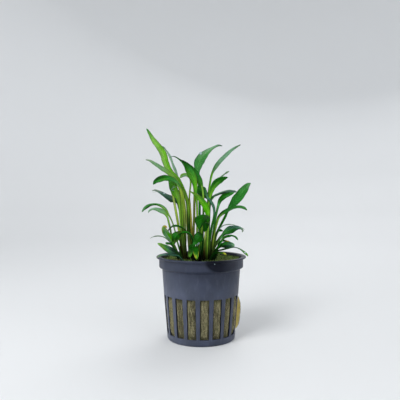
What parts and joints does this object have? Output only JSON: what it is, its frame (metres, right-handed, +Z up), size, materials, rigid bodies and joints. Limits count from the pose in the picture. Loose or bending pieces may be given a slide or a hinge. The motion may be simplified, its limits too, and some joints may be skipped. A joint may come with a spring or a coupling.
{
  "type": "potted aquarium plant",
  "caption": "Tuft of narrow arching leaves on thin stalks, rooted in a rock wool plug inside a small round slotted net pot with a flared lip.",
  "frame": {"origin": "middle of the pot's flat base, on the pot's axis", "axes": "+Z up along the pot's axis, -Y towards the front that the picture shows, +X to the right of that view"},
  "size_m": [0.069, 0.055, 0.1286],
  "materials": {
    "pot_plastic": "satin slate grey",
    "wool": "damp olive fibre",
    "bright_leaf": "satin",
    "green_leaf": "satin",
    "dark_leaf": "satin",
    "teal_leaf": "satin"
  },
  "bodies": {
    "root": {"net_pot": "pot_plastic", "rock_wool": "wool", "tall_left_leaf": "bright_leaf", "teal_upright_leaf": "teal_leaf", "slim_left_leaf": "green_leaf", "hooked_left_leaf": "dark_leaf", "broad_left_leaf": "bright_leaf", "yellow_stalk_leaf": "green_leaf", "blue_left_leaf": "teal_leaf", "arching_left_leaf": "dark_leaf", "pale_left_leaf": "green_leaf", "curled_leaf": "green_leaf", "dark_arch_leaf": "dark_leaf", "hanging_left_leaf": "dark_leaf", "thin_left_leaf": "teal_leaf", "low_left_leaf": "teal_leaf", "small_left_leaf": "dark_leaf", "rim_left_leaf": "green_leaf", "bright_centre_leaf": "bright_leaf", "shaded_centre_leaf": "dark_leaf", "top_centre_leaf": "green_leaf", "top_right_leaf": "green_leaf", "upper_right_leaf": "green_leaf", "thin_right_leaf": "green_leaf", "green_right_leaf": "green_leaf", "teal_right_leaf": "teal_leaf", "big_right_leaf": "green_leaf", "arching_right_leaf": "green_leaf", "bent_teal_leaf": "teal_leaf", "vivid_centre_leaf": "bright_leaf", "broad_centre_leaf": "dark_leaf", "small_centre_leaf": "dark_leaf", "low_centre_leaf": "green_leaf", "front_left_leaf": "teal_leaf", "front_leaf": "green_leaf", "broad_right_leaf": "teal_leaf", "thin_arch_leaf": "green_leaf", "small_right_leaf": "dark_leaf", "hooked_right_leaf": "green_leaf", "low_right_leaf": "dark_leaf", "orange_edge_leaf": "green_leaf", "rim_right_leaf": "green_leaf", "yellow_tip_leaf": "bright_leaf", "small_light_leaf": "bright_leaf", "inner_centre_leaf": "green_leaf", "back_tall_leaf": "green_leaf", "back_left_leaf": "dark_leaf", "back_centre_leaf": "dark_leaf", "back_low_leaf": "green_leaf", "back_right_leaf": "dark_leaf", "back_upper_leaf": "green_leaf", "back_low_left_leaf": "green_leaf", "back_low_right_leaf": "dark_leaf"}
  },
  "joints": []
}
